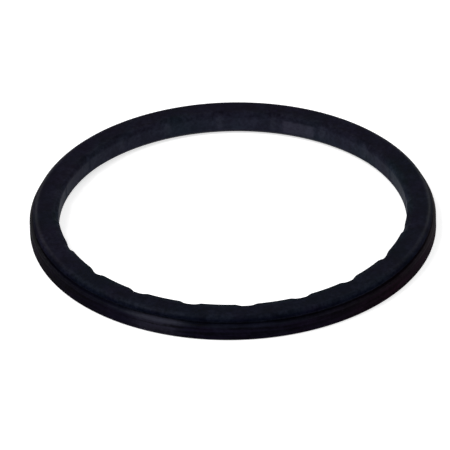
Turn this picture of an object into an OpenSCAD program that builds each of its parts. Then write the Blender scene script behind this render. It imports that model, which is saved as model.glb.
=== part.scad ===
// Moulded rubber oil seal: a flat sealing ring with a rounded bead, a groove and shoulder
// round its outside, and a notched gripping edge round its bore.
// Sizes in millimetres. The ring lies flat on Z = 0 with its axis on +Z, notched face up.

/* [Main sizes] */

// Diameter of the bore over the pads between the notches, unstretched
bore_d = 128.4;     // [80:0.1:250]

// Width of the section, from the pads out to the outside of the bead
wall_w = 10.8;      // [9:0.1:16]

// Height of the ring, base to top face
height = 9.1;       // [8:0.1:14]

/* [Outer bead] */

// Height of the bead above the base
bead_h = 6.2;       // [4:0.1:6.7]

// Rounding of the bead's upper edge
bead_top_r = 1.2;   // [0.4:0.1:2]

// Rounding of the bead's lower edge
base_edge_r = 0.8;  // [0.2:0.1:1.2]

/* [Groove and shoulder] */

// Height of the groove between bead and shoulder
groove_w = 1;       // [0.4:0.1:1.3]

// Depth of the groove, measured in from the outside of the bead
groove_depth = 2.2; // [1.8:0.1:3]

// How far the shoulder stands back from the outside of the bead
shoulder_step = 1.2; // [0.6:0.1:1.6]

// Rounding of the shoulder up to the top face
shoulder_r = 2.1;   // [0.8:0.1:2.4]

/* [Bore] */

// Rounding of the bore's upper edge
pad_edge_r = 1.3;   // [0.3:0.1:1.7]

// Bevel of the bore at the base
base_bevel = 1.8;   // [0.4:0.1:2.2]

/* [Notches] */

// Number of notches round the bore
notch_count = 20;   // [8:1:24]

// Width of a notch where its cut meets the top face
notch_floor = 2.6;  // [1.5:0.1:5]

// How much further each side of a notch spreads at the bore
notch_flare = 2.5;  // [0.5:0.1:2.8]

// Size of the slanting cut that takes off the bore's upper edge in a notch
notch_cut = 1.9;    // [1.8:0.1:3]

// How far the bore's wall stands back below a notch
notch_recess = 0.15; // [0.05:0.05:0.5]

// Height of the plain band at the foot of the bore
lip_h = 2.6;        // [2.3:0.1:4]

/* [Hidden] */

bore_r = bore_d / 2;
outer_r = bore_r + wall_w;
shoulder_out_r = outer_r - shoulder_step;
groove_floor_r = outer_r - groove_depth;
groove_r = groove_w / 2;
notch_mouth = notch_floor + 2 * notch_flare;
notch_pitch = 360 / notch_count;
recess_w = notch_floor + notch_flare;
cut_over = 2;
plan_past = 1.15;
plan_end = notch_mouth - plan_past * 2 * notch_flare;
rubber = [0.075, 0.08, 0.11];

// Which sub-part to draw

// Section of the bead, from the bore out
module bead_section() {
    translate([bore_r, 0])
        square([outer_r - base_edge_r - bore_r, bead_h - bead_top_r]);
    translate([bore_r, base_edge_r])
        square([outer_r - bore_r, bead_h - bead_top_r - base_edge_r]);
    translate([outer_r - base_edge_r, base_edge_r])
        circle(r = base_edge_r);
    translate([bore_r, bead_h - bead_top_r])
        square([outer_r - bead_top_r - bore_r, bead_top_r]);
    translate([outer_r - bead_top_r, bead_h - bead_top_r])
        circle(r = bead_top_r);
}

// Section of the shoulder above the bead, from the bore out
module shoulder_section() {
    translate([bore_r, 0])
        square([shoulder_out_r - shoulder_r - bore_r, height]);
    translate([bore_r, 0])
        square([shoulder_out_r - bore_r, height - shoulder_r]);
    translate([shoulder_out_r - shoulder_r, height - shoulder_r])
        circle(r = shoulder_r);
}

// Section of the round-bottomed groove, open outwards
module groove_section() {
    translate([groove_floor_r + groove_r, bead_h])
        square([groove_depth + cut_over, groove_w]);
    translate([groove_floor_r + groove_r, bead_h + groove_r])
        circle(r = groove_r);
}

// What the rounding takes off the bore's upper corner
module pad_corner_section() {
    difference() {
        translate([bore_r - cut_over, height - pad_edge_r])
            square([cut_over + pad_edge_r, pad_edge_r + cut_over]);
        translate([bore_r + pad_edge_r, height - pad_edge_r])
            circle(r = pad_edge_r);
    }
}

// What the bevel takes off the bore's lower corner
module base_corner_section() {
    polygon([
        [bore_r - cut_over, -cut_over],
        [bore_r + base_bevel + cut_over, -cut_over],
        [bore_r - cut_over, base_bevel + cut_over]
    ]);
}

// One notch: a slanting cut of the bore's upper edge over a shallow recess of the wall
module notch() {
    intersection() {
        translate([0, 0, lip_h])
            linear_extrude(height - lip_h + cut_over)
                polygon([
                    [bore_r - cut_over, -notch_mouth / 2],
                    [bore_r, -notch_mouth / 2],
                    [bore_r + plan_past * notch_cut, -plan_end / 2],
                    [bore_r + plan_past * notch_cut, plan_end / 2],
                    [bore_r, notch_mouth / 2],
                    [bore_r - cut_over, notch_mouth / 2]
                ]);
        rotate([90, 0, 0])
            linear_extrude(notch_mouth + 2 * cut_over, center = true)
                polygon([
                    [bore_r - cut_over, height - notch_cut - cut_over],
                    [bore_r + notch_cut + cut_over, height + cut_over],
                    [bore_r - cut_over, height + cut_over]
                ]);
    }
    translate([bore_r - cut_over, -recess_w / 2, lip_h])
        cube([cut_over + notch_recess, recess_w, height - lip_h]);
}

module seal_ring() {
    color(rubber)
        difference() {
            rotate_extrude()
                difference() {
                    union() {
                        bead_section();
                        shoulder_section();
                    }
                    groove_section();
                    pad_corner_section();
                    base_corner_section();
                }
            for (i = [0 : notch_count - 1])
                rotate([0, 0, i * notch_pitch])
                    notch();
        }
}

seal_ring();
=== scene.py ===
import math

import bpy
import numpy as np
from mathutils import Matrix, Vector


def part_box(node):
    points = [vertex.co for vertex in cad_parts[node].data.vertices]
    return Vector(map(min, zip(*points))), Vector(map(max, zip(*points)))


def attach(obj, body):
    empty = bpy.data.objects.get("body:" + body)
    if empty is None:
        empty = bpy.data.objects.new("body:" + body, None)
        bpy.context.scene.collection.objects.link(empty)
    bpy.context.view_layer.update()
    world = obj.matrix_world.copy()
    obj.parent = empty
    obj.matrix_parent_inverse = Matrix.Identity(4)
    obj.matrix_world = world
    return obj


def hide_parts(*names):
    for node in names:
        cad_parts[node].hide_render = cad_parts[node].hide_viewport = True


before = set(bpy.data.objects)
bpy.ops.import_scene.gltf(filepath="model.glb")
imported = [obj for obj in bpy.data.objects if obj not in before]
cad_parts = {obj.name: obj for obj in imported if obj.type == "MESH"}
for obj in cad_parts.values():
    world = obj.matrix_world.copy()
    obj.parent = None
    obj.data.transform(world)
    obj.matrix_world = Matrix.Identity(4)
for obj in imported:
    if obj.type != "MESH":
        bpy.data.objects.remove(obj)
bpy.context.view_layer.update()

MM = 0.001
scene = bpy.context.scene
scene.view_settings.view_transform = "Standard"

# Sizes of the ring, in millimetres
_, ring_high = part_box("seal_ring")
OUTER_R = ring_high.x / MM
HEIGHT = ring_high.z / MM
BORE_R = 64.2
BEAD_H = 6.2
BEAD_TOP_R = 1.2
BASE_EDGE_R = 0.8
GROOVE_W = 1.0
GROOVE_DEPTH = 2.2
SHOULDER_STEP = 1.2
SHOULDER_R = 2.1
PAD_EDGE_R = 1.3
BASE_BEVEL = 1.8
NOTCH_COUNT = 20
NOTCH_FLOOR = 2.6
NOTCH_FLARE = 2.5
NOTCH_CUT = 1.9
NOTCH_RECESS = 0.15
LIP_H = 2.6

# Worked out from them: the middle of the section, the top of the groove, the centre of the
# rounding of the bore's upper edge, and the angle from one notch to the next
MIDDLE_R = (BORE_R + OUTER_R) / 2
GROOVE_TOP = BEAD_H + GROOVE_W
PAD_X, PAD_Z = BORE_R + PAD_EDGE_R, HEIGHT - PAD_EDGE_R
NOTCH_PITCH = 2 * math.pi / NOTCH_COUNT

# Softened corners of the section
GROOVE_LIP = 0.18             # from the groove's upper wall to its corner with the shoulder
LIP_TURN = 6                  # the same along the shoulder's arc, in degrees
BEVEL_OVER = 0.12             # where a corner of the bevel starts, beyond the bevel
BEVEL_IN = 0.10               # where it ends, along the bevel
BEVEL_DROP = 0.13             # how far the upper corner ends below the bevel's top

# How the notches blend into the ring
NOTCH_ROUND = 0.2             # rounding at a flank's two ends, as a share of the flank
RECESS_BLEND = 0.4            # width of the step at each side of the recess, in millimetres
LIP_BLEND = 0.3               # height of the step at its foot
TOP_DRAWN = 4.0               # width of the top face that is drawn back to a notch
WALL_DRAWN = 3.5              # height of the bore's wall that is

# Slow waves of the moulding: height in millimetres, number round the ring, and phase
SIDE_WAVES = ((0.022, 3, 0.7), (0.016, 7, 2.1), (0.010, 13, 4.0))
TOP_WAVES = ((0.010, 4, 1.9), (0.007, 11, 0.4))
SIDE_INSET, TOP_INSET = 0.030, 0.017
BORE_SHARE = 0.6              # how much of the outside's waves the bore has
# the heights from which they grow or fade, and over how much height
SIDE_FROM, SIDE_RISE = 0.3, 3.0
SIDE_TO, SIDE_FALL = 7.6, 0.9
TOP_FROM, TOP_RISE = 7.0, 1.2

# Steps of the mesh round each notch and each pad, and how far the notch's reach past it
NOTCH_STEPS, PAD_STEPS = 36, 12
NOTCH_MARGIN = 0.6
SAME = 1e-6                   # millimetres, closer than which two places are the same

# The camera, at the photograph's angle
PHOTO_PX = 450
CAM_DISTANCE = 2.2            # metres
CAM_ELEVATION = 33.14         # degrees above the floor
CAM_AZIMUTH = 266.2           # degrees from +X, a few degrees off the middle of a pad
CAM_ROLL = -1.114             # degrees
PX_PER_M = 2707.5             # at the ring's middle
CENTRE_RIGHT_PX = 8.05        # where the ring's middle lies, from the picture's middle
CENTRE_UP_PX = -1.63

# Colours of the rubber by zone
TOP = (0.0003, 0.0004, 0.0050)
# painted light: the shoulder's rounded ridge is paler than the top, for the light it gets
SHOULDER = (0.0034, 0.0036, 0.0088)
NOTCH_EDGE = (0.0034, 0.0044, 0.0082)
# painted light: the groove is paler than the rubber around it, lifting its shade
GROOVE = (0.0095, 0.0098, 0.0210)
BEAD = (0.0043, 0.0028, 0.0087)
# painted highlight along the bead's upper rounding
CROWN_HIGHLIGHT = (0.0038, 0.0035, 0.0086)
# painted light: the bore's wall is paler than the top, for the light it reflects
WALL = (0.0123, 0.0151, 0.0262)

# What they are multiplied by: in the drift from bluish to purplish, and along the bead, where
# each X says from where to where in millimetres the bead takes it on
BLUISH, PURPLISH = (0.86, 1.06, 0.98), (1.14, 0.94, 1.03)
# the bead's dark end towards -X is painted shade
REDDISH, RED_END, SHADED_END = (1.14, 0.80, 0.76), (1.10, 0.66, 0.66), (0.50, 0.38, 0.48)
REDDISH_X, RED_END_X, SHADED_END_X = (-10, 60), (20, 55), (-36, -60)

# What is added to them: the bloom's drift and its grey, and the pale line in each notch
BLUE_BLOOM, PURPLE_BLOOM = (0.0, 0.0008, 0.0012), (0.0009, 0.0, 0.0014)
GREY_BLOOM = (0.0054, 0.0057, 0.0070)
NOTCH_LINE = (0.0062, 0.0066, 0.0080)
NOTCH_LINE_EDGES = (1.8, 0.3)  # degrees from the notch's middle, where it begins and is full

# The painted highlights, where a low lamp at one side reflects off one pad of the bore and one stretch of
# the bead: azimuth, half width and softness in degrees, zone, and colour added
LAMP_HIGHLIGHTS = (
    (63.0, 5.6, 0.5, "pad", (0.0150, 0.0134, 0.0190)),
    (-116.0, 6.0, 4.0, "bead", (0.0115, 0.0112, 0.0155)),
    (-116.5, 8.0, 4.0, "crown", (0.0085, 0.0085, 0.0110)),
    (-116.0, 6.0, 4.0, "shoulder", (0.0040, 0.0040, 0.0060)),
)

# Noises of the rubber: scale per metre, detail and roughness
DRIFT_NOISE, CLOUD_NOISE, PATCH_NOISE = (70, 3, 0.5), (170, 3, 0.6), (60, 2, 0.5)
GRAIN_NOISE, STREAK_NOISE, PORE_NOISE = (820, 4, 0.6), (900, 2, 0.5), (2600, 3, 0.55)
STREAK_STRETCH = (0.06, 0.06, 1.0)
DRIFT_SLOPE = 0.0016          # per millimetre towards +Y

# The part of a noise's values that is used, and how much darker and lighter it makes the rubber
WIDE_RANGE, MIDDLE_RANGE = (0.26, 0.74), (0.30, 0.70)
BLOOM_RANGE, PATCH_RANGE = (0.32, 0.70), (0.34, 0.66)
CLOUDS, GRAIN, STREAKS = (-0.28, 0.30), (-0.34, 0.36), (-0.55, 0.60)
PATCHES = (0.1, 1.0)
CLOUD_SHARE = 0.6             # of the clouds in the bloom's patches

# How much of each there is on the wall and on the bead
WALL_DRIFT, WALL_UNEVEN, BEAD_UNEVEN, BEAD_BLOOM_DRIFT, BEAD_BLOOM = 0.5, 0.6, 0.7, 0.2, 0.8

# Finish of the rubber
TOP_ROUGH, BEAD_ROUGH, WALL_ROUGH = 0.47, 0.9, 0.58
NOTCH_ROUGHER = 0.3
PORE_ROUGH = 0.05
SPECULAR = 0.028
PORE_BUMP, PORE_DEPTH = 0.35, 0.02 * MM

# Zones of the rubber, in millimetres: where each begins and where it is full. Those across
# are distances from the axis. The others are heights, which the zone is entered by going up or down.
BEAD_ACROSS, BEAD_DOWN = (OUTER_R - 2.8, OUTER_R - 1.6), (BEAD_H + 0.4, BEAD_H - 0.1)
CROWN_UP, CROWN_DOWN = (BEAD_H - BEAD_TOP_R, BEAD_H - 0.5), (BEAD_H + 0.2, BEAD_H)
GROOVE_ACROSS = (OUTER_R - 2.6, OUTER_R - 2.0)
GROOVE_UP, GROOVE_DOWN = (BEAD_H + 0.02, BEAD_H + 0.12), (GROOVE_TOP + 0.4, GROOVE_TOP - 0.2)
SHOULDER_ACROSS, SHOULDER_UP = (OUTER_R - 3.8, OUTER_R - 2.8), (HEIGHT - 1.5, HEIGHT - 0.3)
NOTCH_ACROSS, NOTCH_UP = (BORE_R + 2.7, BORE_R + 2.0), (HEIGHT - 2.3, HEIGHT - 1.6)
WALL_ACROSS, WALL_DOWN = (BORE_R + 2.1, BORE_R + 0.2), (HEIGHT - 0.1, HEIGHT - 2.9)
WALL_LEAST = 0.3              # how much of the wall's colour is on its upper edge
PAD_ACROSS, PAD_DOWN = (BORE_R + 2.1, BORE_R + 0.4), (HEIGHT - 1.4, HEIGHT - 2.4)
PAD_UP = (BASE_BEVEL + 0.1, LIP_H)
RECESS_UP = (LIP_H - 0.4, LIP_H + 0.6)
ROUGH_ACROSS = (OUTER_R - 2.3, OUTER_R - 1.5)

# The floor, in metres, and the light on it
FLOOR_INNER_R, FLOOR_FLAT_R, FLOOR_CURVE_R, FLOOR_RIM_Z = 0.5, 2.6, 0.5, 1.0
FLOOR_GAP = 0.02 * MM
FLOOR_SIDES, FLOOR_CURVE_STEPS = 96, 9
FLOOR_COLOUR, WHITE = (0.8, 0.8, 0.8), (1.0, 1.0, 1.0)
FLOOR_GLOW = 0.62
WORLD_STRENGTH = 0.35


def make_camera():
    azimuth, elevation, roll = (math.radians(a) for a in (CAM_AZIMUTH, CAM_ELEVATION, CAM_ROLL))
    level = Vector((math.cos(azimuth), math.sin(azimuth), 0)) * math.cos(elevation)
    back = level + Vector((0, 0, math.sin(elevation)))
    right = (-back).cross(Vector((0, 0, 1))).normalized()
    up = right.cross(-back)
    right, up = (
        math.cos(roll) * right + math.sin(roll) * up,
        math.cos(roll) * up - math.sin(roll) * right,
    )
    focal_px = PX_PER_M * CAM_DISTANCE
    aim = -back - right * (CENTRE_RIGHT_PX / focal_px) - up * (CENTRE_UP_PX / focal_px)
    aim.normalize()
    right = (right - aim * right.dot(aim)).normalized()
    up = right.cross(aim)
    data = bpy.data.cameras.new("camera")
    data.sensor_width = 36.0
    data.lens = focal_px / PHOTO_PX * data.sensor_width
    data.clip_start, data.clip_end = 0.01, 20.0
    cam = bpy.data.objects.new("camera", data)
    scene.collection.objects.link(cam)
    cam.matrix_world = Matrix((
        (right.x, up.x, -aim.x, back.x * CAM_DISTANCE),
        (right.y, up.y, -aim.y, back.y * CAM_DISTANCE),
        (right.z, up.z, -aim.z, back.z * CAM_DISTANCE),
        (0, 0, 0, 1),
    ))
    scene.camera = cam


# The ring's mesh
def arc(cx, cz, r, a0, a1, steps):
    """Points on an arc of the section, with both ends, angles in degrees from straight out."""
    out = []
    for k in range(steps + 1):
        t = math.radians(a0 + (a1 - a0) * k / steps)
        out.append((cx + r * math.cos(t), cz + r * math.sin(t)))
    return out


def line(p, q, steps):
    """Points from p towards q, without p and with q."""
    shares = [k / steps for k in range(1, steps + 1)]
    return [(p[0] + (q[0] - p[0]) * s, p[1] + (q[1] - p[1]) * s) for s in shares]


def section():
    """The ring's section as one closed loop, from the middle of the base outwards and round.

    Each stretch ends with its number of steps.
    """
    # the base, its outer edge and the bead
    pts = [(MIDDLE_R, 0.0)]
    pts += line(pts[-1], (OUTER_R - BASE_EDGE_R, 0.0), 3)
    pts += arc(OUTER_R - BASE_EDGE_R, BASE_EDGE_R, BASE_EDGE_R, -90, 0, 6)[1:]
    pts += line(pts[-1], (OUTER_R, BEAD_H - BEAD_TOP_R), 6)
    pts += arc(OUTER_R - BEAD_TOP_R, BEAD_H - BEAD_TOP_R, BEAD_TOP_R, 0, 90, 10)[1:]
    # the groove
    groove_r = GROOVE_W / 2
    groove_x = OUTER_R - GROOVE_DEPTH + groove_r
    pts += line(pts[-1], (groove_x, BEAD_H), 3)
    pts += arc(groove_x, BEAD_H + groove_r, groove_r, 270, 90, 8)[1:]
    # the shoulder, whose arc starts where the groove's upper wall cuts it
    arc_x, arc_z = OUTER_R - SHOULDER_STEP - SHOULDER_R, HEIGHT - SHOULDER_R
    start = math.asin((GROOVE_TOP - arc_z) / SHOULDER_R)
    corner_x = arc_x + SHOULDER_R * math.cos(start)
    pts += line(pts[-1], (corner_x - GROOVE_LIP, GROOVE_TOP), 3)
    pts += arc(arc_x, arc_z, SHOULDER_R, math.degrees(start) + LIP_TURN, 90, 12)
    # the top face, the bore's upper edge and its wall
    pts += line(pts[-1], (PAD_X, HEIGHT), 12)
    pts += arc(PAD_X, PAD_Z, PAD_EDGE_R, 90, 180, 10)[1:]
    pts += line(pts[-1], (BORE_R, BASE_BEVEL + BEVEL_OVER), 14)
    # the bevel, with softened corners, and the base
    pts += line(pts[-1], (BORE_R + BEVEL_IN, BASE_BEVEL - BEVEL_DROP), 2)
    pts += line(pts[-1], (BORE_R + BASE_BEVEL - BEVEL_IN, BEVEL_IN), 5)
    pts += line(pts[-1], (BORE_R + BASE_BEVEL + BEVEL_OVER, 0.0), 2)
    pts += line(pts[-1], (MIDDLE_R, 0.0), 3)[:-1]
    return np.array(pts)


def smooth(x):
    """0 up to 0, 1 from 1 on, and a smooth rise between."""
    x = np.clip(x, 0.0, 1.0)
    return x * x * (3 - 2 * x)


def from_notch(theta):
    """Distance along the bore from the middle of the nearest notch, in millimetres."""
    return np.abs((theta + NOTCH_PITCH / 2) % NOTCH_PITCH - NOTCH_PITCH / 2) * BORE_R


def notch_share(theta):
    """How far a notch is cut, from 0 between notches to 1 on a notch's floor."""
    x = (NOTCH_FLOOR / 2 + NOTCH_FLARE - from_notch(theta)) / NOTCH_FLARE
    # straight flanks with a small round at the floor and at the mouth
    r = NOTCH_ROUND
    x = np.clip(x, -r, 1 + r)
    low = np.where(x < r, (x + r) ** 2 / (4 * r), x)
    return np.where(x > 1 - r, 1 - (1 + r - x) ** 2 / (4 * r), low)


def recess_share(theta):
    """The same for the shallow recess of the wall, which is narrower than the notch's mouth."""
    half = (NOTCH_FLOOR + NOTCH_FLARE) / 2
    return smooth((half - from_notch(theta)) / RECESS_BLEND + 0.5)


def azimuths():
    """Steps round the ring, fine in each notch and wider on the pads between them."""
    half = (NOTCH_FLOOR / 2 + NOTCH_FLARE + NOTCH_MARGIN) / BORE_R
    fine = np.linspace(-half, half, NOTCH_STEPS, endpoint=False)
    wide = np.linspace(half, NOTCH_PITCH - half, PAD_STEPS, endpoint=False)
    notches = np.arange(NOTCH_COUNT)[:, None] * NOTCH_PITCH
    return (notches + np.concatenate([fine, wide])).reshape(-1, 1)


def cut_notches(theta, r0, z0):
    """The section's points at each azimuth, with the notches cut."""
    share = notch_share(theta)
    # in a notch the bore's rounded upper edge turns into a wider slanting cut
    edge = (r0 < PAD_X - SAME) & (z0 > PAD_Z + SAME)
    along = np.arctan2(z0 - PAD_Z, PAD_X - r0) / (math.pi / 2)
    r = r0 + share * (BORE_R + NOTCH_CUT * along - r0) * edge
    z = z0 + share * (HEIGHT - NOTCH_CUT * (1 - along) - z0) * edge
    # the top face and the bore's wall are drawn back to the cut
    more = share * (NOTCH_CUT - PAD_EDGE_R)
    top = (z0 > HEIGHT - SAME) & (r0 >= PAD_X - SAME)
    r = r + more * smooth(1 - (r0 - PAD_X) / TOP_DRAWN) * top
    wall = (np.abs(r0 - BORE_R) < SAME) & (z0 <= PAD_Z + SAME)
    z = z - more * smooth(1 - (PAD_Z - z0) / WALL_DRAWN) * wall
    # below a notch the wall stands back a little, down to the plain band
    back = NOTCH_RECESS * recess_share(theta) * smooth((z0 - LIP_H) / LIP_BLEND + 0.5)
    r = r + back * (edge | wall) * (1 - share * along * edge)
    return r, z


def waves(theta, terms):
    return sum(height * np.sin(count * theta + phase) for height, count, phase in terms)


def add_waves(theta, r0, z0, r, z):
    """Moulded rubber is never quite true: waves of a few hundredths of a millimetre."""
    side = smooth((z0 - SIDE_FROM) / SIDE_RISE) * (1 - smooth((z0 - SIDE_TO) / SIDE_FALL))
    inwards = side * np.where(r0 > MIDDLE_R, 1.0, -BORE_SHARE)
    r = r - (SIDE_INSET + waves(theta, SIDE_WAVES)) * inwards
    z = z - (TOP_INSET + waves(theta, TOP_WAVES)) * smooth((z0 - TOP_FROM) / TOP_RISE)
    return r, z


def build_ring():
    theta = azimuths()
    r0, z0 = section().T[:, None, :]
    r, z = cut_notches(theta, r0, z0)
    r, z = add_waves(theta, r0, z0, r, z)
    points = np.stack([r * np.cos(theta), r * np.sin(theta), z], -1) * MM
    steps, n = r.shape
    i = np.arange(steps)[:, None]
    k = np.arange(n)[None, :]
    i2, k2 = (i + 1) % steps, (k + 1) % n
    quads = np.stack([i * n + k, i2 * n + k, i2 * n + k2, i * n + k2], -1)
    mesh = bpy.data.meshes.new("seal_ring_rubber")
    mesh.from_pydata(points.reshape(-1, 3).tolist(), [], quads.reshape(-1, 4).tolist())
    mesh.polygons.foreach_set("use_smooth", [True] * len(mesh.polygons))
    mesh.update()
    ring = bpy.data.objects.new("seal_ring_rubber", mesh)
    scene.collection.objects.link(ring)
    return ring


# Materials
class NodeMaker:
    """Makes the nodes of one material. A value is a number, a colour or another node's output."""

    def __init__(self, material):
        material.use_nodes = True
        self.nodes, self.links = material.node_tree.nodes, material.node_tree.links
        self.nodes.clear()

    def put(self, socket, value):
        if isinstance(value, (int, float)):
            socket.default_value = value
        elif isinstance(value, tuple):
            is_colour = len(socket.default_value) == 4
            socket.default_value = (*value, 1.0) if is_colour else value
        else:
            self.links.new(value, socket)

    def node(self, kind, inputs, output=0, **settings):
        """Makes a node with its settings and inputs, and returns one of its outputs."""
        made = self.nodes.new(kind)
        for name, value in settings.items():
            setattr(made, name, value)
        for socket, value in inputs.items():
            self.put(made.inputs[socket], value)
        return made.outputs[output]

    def show(self, shader, kind="ShaderNodeOutputMaterial"):
        self.links.new(shader, self.nodes.new(kind).inputs["Surface"])

    def noise(self, place, scale, detail, rough):
        inputs = {"Vector": place, "Scale": scale, "Detail": detail, "Roughness": rough}
        return self.node("ShaderNodeTexNoise", inputs, "Fac")

    def calc(self, operation, *values):
        return self.node("ShaderNodeMath", dict(enumerate(values)), operation=operation)

    def product(self, first, *others):
        for other in others:
            first = self.calc("MULTIPLY", first, other)
        return first

    def span(self, source, low, high, to_low=0.0, to_high=1.0):
        """Smooth change from to_low to to_high while source goes from low to high."""
        inputs = dict(enumerate((source, low, high, to_low, to_high)))
        return self.node("ShaderNodeMapRange", inputs, interpolation_type="SMOOTHSTEP")

    def fade(self, zone, share):
        """1 outside a zone and share inside it."""
        return self.span(zone, 0.0, 1.0, 1.0, share)

    def blend(self, mode, mask, first, second):
        inputs = {"Factor": mask, "A": first, "B": second}
        return self.node("ShaderNodeMix", inputs, "Result", data_type="RGBA", blend_type=mode)


def ring_zones(m, place):
    """How far a point is in each zone of the ring, from 0 to 1, and where it lies in millimetres."""
    xyz = m.nodes.new("ShaderNodeSeparateXYZ")
    in_mm = {0: place, "Scale": 1 / MM}
    m.put(xyz.inputs[0], m.node("ShaderNodeVectorMath", in_mm, operation="SCALE"))
    x, y, z = xyz.outputs
    radius = m.calc("SQRT", m.calc("ADD", m.product(x, x), m.product(y, y)))
    outside = m.span(radius, *BEAD_ACROSS)
    return {
        "x": x,
        "y": y,
        "z": z,
        "turn": m.calc("ARCTAN2", y, x),
        "radius": radius,
        "wall": m.product(m.span(radius, *WALL_ACROSS), m.span(z, *WALL_DOWN, WALL_LEAST, 1.0)),
        "notch edge": m.product(m.span(radius, *NOTCH_ACROSS), m.span(z, *NOTCH_UP)),
        "shoulder": m.product(m.span(radius, *SHOULDER_ACROSS), m.span(z, *SHOULDER_UP)),
        "bead": m.product(outside, m.span(z, *BEAD_DOWN)),
        "crown": m.product(outside, m.span(z, *CROWN_UP), m.span(z, *CROWN_DOWN)),
        "groove": m.product(m.span(radius, *GROOVE_ACROSS), m.span(z, *GROOVE_UP), m.span(z, *GROOVE_DOWN)),
        "pad": m.product(m.span(radius, *PAD_ACROSS), m.span(z, *PAD_DOWN), m.span(z, *PAD_UP)),
    }


def rubber_colour(m, place, at):
    """The zones' colours, made uneven in several ways, under a thin bloom, with painted highlights in
    places.
    """
    colour = m.blend("MIX", at["shoulder"], TOP, SHOULDER)
    paints = {"notch edge": NOTCH_EDGE, "groove": GROOVE, "bead": BEAD, "crown": CROWN_HIGHLIGHT, "wall": WALL}
    for zone, paint in paints.items():
        colour = m.blend("MIX", at[zone], colour, paint)

    # a drift between bluish and purplish black, and a reddish bead towards +X
    towards_y = m.product(at["y"], DRIFT_SLOPE)
    drift = m.span(m.calc("ADD", m.noise(place, *DRIFT_NOISE), towards_y), *MIDDLE_RANGE)
    tint = m.blend("MIX", drift, BLUISH, PURPLISH)
    colour = m.blend("MULTIPLY", m.fade(at["wall"], WALL_DRIFT), colour, tint)
    colour = m.blend("MULTIPLY", m.product(at["bead"], m.span(at["x"], *REDDISH_X)), colour, REDDISH)

    # clouds and a fine grain, and faint streaks of painted sheen that run round the bead
    cloud = m.noise(place, *CLOUD_NOISE)
    fine = m.noise(place, *GRAIN_NOISE)
    uneven = m.calc("ADD", m.span(cloud, *WIDE_RANGE, *CLOUDS), m.span(fine, *WIDE_RANGE, *GRAIN))
    uneven = m.product(uneven, m.fade(at["wall"], WALL_UNEVEN), m.fade(at["bead"], BEAD_UNEVEN))
    stretched = m.node("ShaderNodeVectorMath", {0: place, 1: STREAK_STRETCH}, operation="MULTIPLY")
    streaks = m.span(m.noise(stretched, *STREAK_NOISE), *MIDDLE_RANGE, *STREAKS)
    uneven = m.calc("ADD", m.calc("ADD", 1.0, uneven), m.product(at["bead"], streaks))
    colour = m.node("ShaderNodeVectorMath", {0: colour, "Scale": uneven}, operation="SCALE")

    # a thin, uneven bloom lies over it all
    bloom_tint = m.blend("MIX", drift, BLUE_BLOOM, PURPLE_BLOOM)
    colour = m.blend("ADD", m.fade(at["bead"], BEAD_BLOOM_DRIFT), colour, bloom_tint)
    wide = m.product(m.noise(place, *PATCH_NOISE), 1 - CLOUD_SHARE)
    patches = m.calc("ADD", m.product(cloud, CLOUD_SHARE), wide)
    patches = m.product(patches, m.fade(at["bead"], BEAD_BLOOM))
    bloom = m.product(m.span(fine, *BLOOM_RANGE), m.span(patches, *PATCH_RANGE, *PATCHES))
    colour = m.blend("ADD", bloom, colour, GREY_BLOOM)

    # painted shade darkens the bead towards -X, and the bead is redder towards +X
    for end_x, paint in ((SHADED_END_X, SHADED_END), (RED_END_X, RED_END)):
        colour = m.blend("MULTIPLY", m.product(at["bead"], m.span(at["x"], *end_x)), colour, paint)

    # a faint pale line runs down the middle of each notch
    off = m.calc("PINGPONG", at["turn"], NOTCH_PITCH / 2)
    in_notch = m.span(off, *(math.radians(a) for a in NOTCH_LINE_EDGES))
    lined = m.product(in_notch, m.span(at["z"], *RECESS_UP), at["wall"], uneven)
    colour = m.blend("ADD", lined, colour, NOTCH_LINE)

    # painted highlights: one pad of the bore and one stretch of the bead are paler where a lamp reflects
    for middle, half, soft, zone, paint in LAMP_HIGHLIGHTS:
        off = m.calc("ABSOLUTE", m.calc("SUBTRACT", at["turn"], math.radians(middle)))
        there = m.span(off, math.radians(half + soft), math.radians(half - soft))
        colour = m.blend("ADD", m.product(there, at[zone], uneven), colour, paint)
    return colour


def rubber_material():
    mat = bpy.data.materials.new("moulded_rubber")
    m = NodeMaker(mat)
    place = m.node("ShaderNodeTexCoord", {}, "Object")
    at = ring_zones(m, place)
    pores = m.noise(place, *PORE_NOISE)
    rough = m.span(pores, *MIDDLE_RANGE, TOP_ROUGH - PORE_ROUGH, TOP_ROUGH + PORE_ROUGH)
    outside = m.span(at["radius"], *ROUGH_ACROSS)
    for rougher in (
        m.product(at["wall"], WALL_ROUGH - TOP_ROUGH),
        m.product(outside, m.fade(at["crown"], 0.0), BEAD_ROUGH - TOP_ROUGH),
        m.product(at["notch edge"], NOTCH_ROUGHER),
    ):
        rough = m.calc("ADD", rough, rougher)
    bump = {"Strength": PORE_BUMP, "Distance": PORE_DEPTH, "Height": pores}
    m.show(m.node("ShaderNodeBsdfPrincipled", {
        "Base Color": rubber_colour(m, place, at),
        "Roughness": rough,
        "Specular IOR Level": SPECULAR,
        "Normal": m.node("ShaderNodeBump", bump),
    }))
    return mat


def floor_material():
    """A matte floor that camera, glossy and transmission rays see as white, with the shadow kept."""
    mat = bpy.data.materials.new("pale_floor")
    m = NodeMaker(mat)
    matte = m.node("ShaderNodeBsdfDiffuse", {"Color": FLOOR_COLOUR})
    glow = m.node("ShaderNodeEmission", {"Color": WHITE, "Strength": FLOOR_GLOW})
    lighter = m.node("ShaderNodeAddShader", {0: matte, 1: glow})
    ray = m.nodes.new("ShaderNodeLightPath").outputs
    seen = m.calc("MAXIMUM", ray["Is Camera Ray"], ray["Is Glossy Ray"])
    seen = m.calc("MAXIMUM", seen, ray["Is Transmission Ray"])
    m.show(m.node("ShaderNodeMixShader", {0: seen, 1: matte, 2: lighter}))
    return mat


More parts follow.
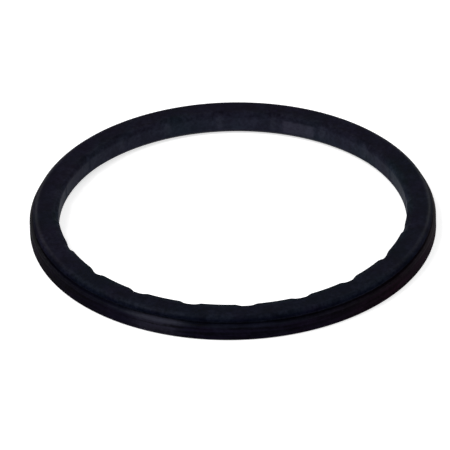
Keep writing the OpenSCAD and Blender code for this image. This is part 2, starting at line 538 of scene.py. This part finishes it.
# The floor and the light
def build_floor():
    """A round floor whose rim curves up into a low wall."""
    profile = [(FLOOR_INNER_R, -FLOOR_GAP), (FLOOR_FLAT_R, -FLOOR_GAP)]
    for k in range(1, FLOOR_CURVE_STEPS + 1):
        t = math.pi / 2 * k / FLOOR_CURVE_STEPS
        up = FLOOR_CURVE_R * (1 - math.cos(t))
        profile.append((FLOOR_FLAT_R + FLOOR_CURVE_R * math.sin(t), up - FLOOR_GAP))
    profile.append((FLOOR_FLAT_R + FLOOR_CURVE_R, FLOOR_RIM_Z))
    n = len(profile)
    verts, faces = [(0.0, 0.0, -FLOOR_GAP)], []
    for i in range(FLOOR_SIDES):
        t = 2 * math.pi * i / FLOOR_SIDES
        verts += [(r * math.cos(t), r * math.sin(t), z) for r, z in profile]
        here, there = 1 + i * n, 1 + (i + 1) % FLOOR_SIDES * n
        faces.append((0, here, there))
        faces += [(here + k, here + k + 1, there + k + 1, there + k) for k in range(n - 1)]
    mesh = bpy.data.meshes.new("floor")
    mesh.from_pydata(verts, [], faces)
    mesh.polygons.foreach_set("use_smooth", [True] * len(mesh.polygons))
    floor = bpy.data.objects.new("floor", mesh)
    scene.collection.objects.link(floor)
    return floor


def area_light(name, where, size, power):
    """A lamp that points at the ring's middle: place and size in metres, power in watts."""
    data = bpy.data.lights.new(name, "AREA")
    data.shape = "RECTANGLE"
    data.size, data.size_y = size
    data.energy = power
    lamp = bpy.data.objects.new(name, data)
    scene.collection.objects.link(lamp)
    lamp.location = where
    lamp.rotation_mode = "QUATERNION"
    lamp.rotation_quaternion = (-Vector(where)).to_track_quat("-Z", "Y")


def light_world():
    scene.world = bpy.data.worlds.new("studio")
    m = NodeMaker(scene.world)
    ambient = m.node("ShaderNodeBackground", {"Color": WHITE, "Strength": WORLD_STRENGTH})
    m.show(ambient, "ShaderNodeOutputWorld")


make_camera()

ring = build_ring()
ring.data.materials.append(rubber_material())
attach(ring, "root")
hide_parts("seal_ring")

floor = build_floor()
floor.data.materials.append(floor_material())

area_light("key", where=(-0.7, -0.25, 1.1), size=(0.6, 0.6), power=9.0)
area_light("fill", where=(1.0, -0.6, 0.8), size=(0.8, 0.5), power=3.0)
area_light("rim_left", where=(-0.486, 0.953, 0.545), size=(0.3, 0.3), power=1.9)
area_light("rim_right", where=(0.6, 0.88, 0.545), size=(0.3, 0.3), power=1.9)
light_world()
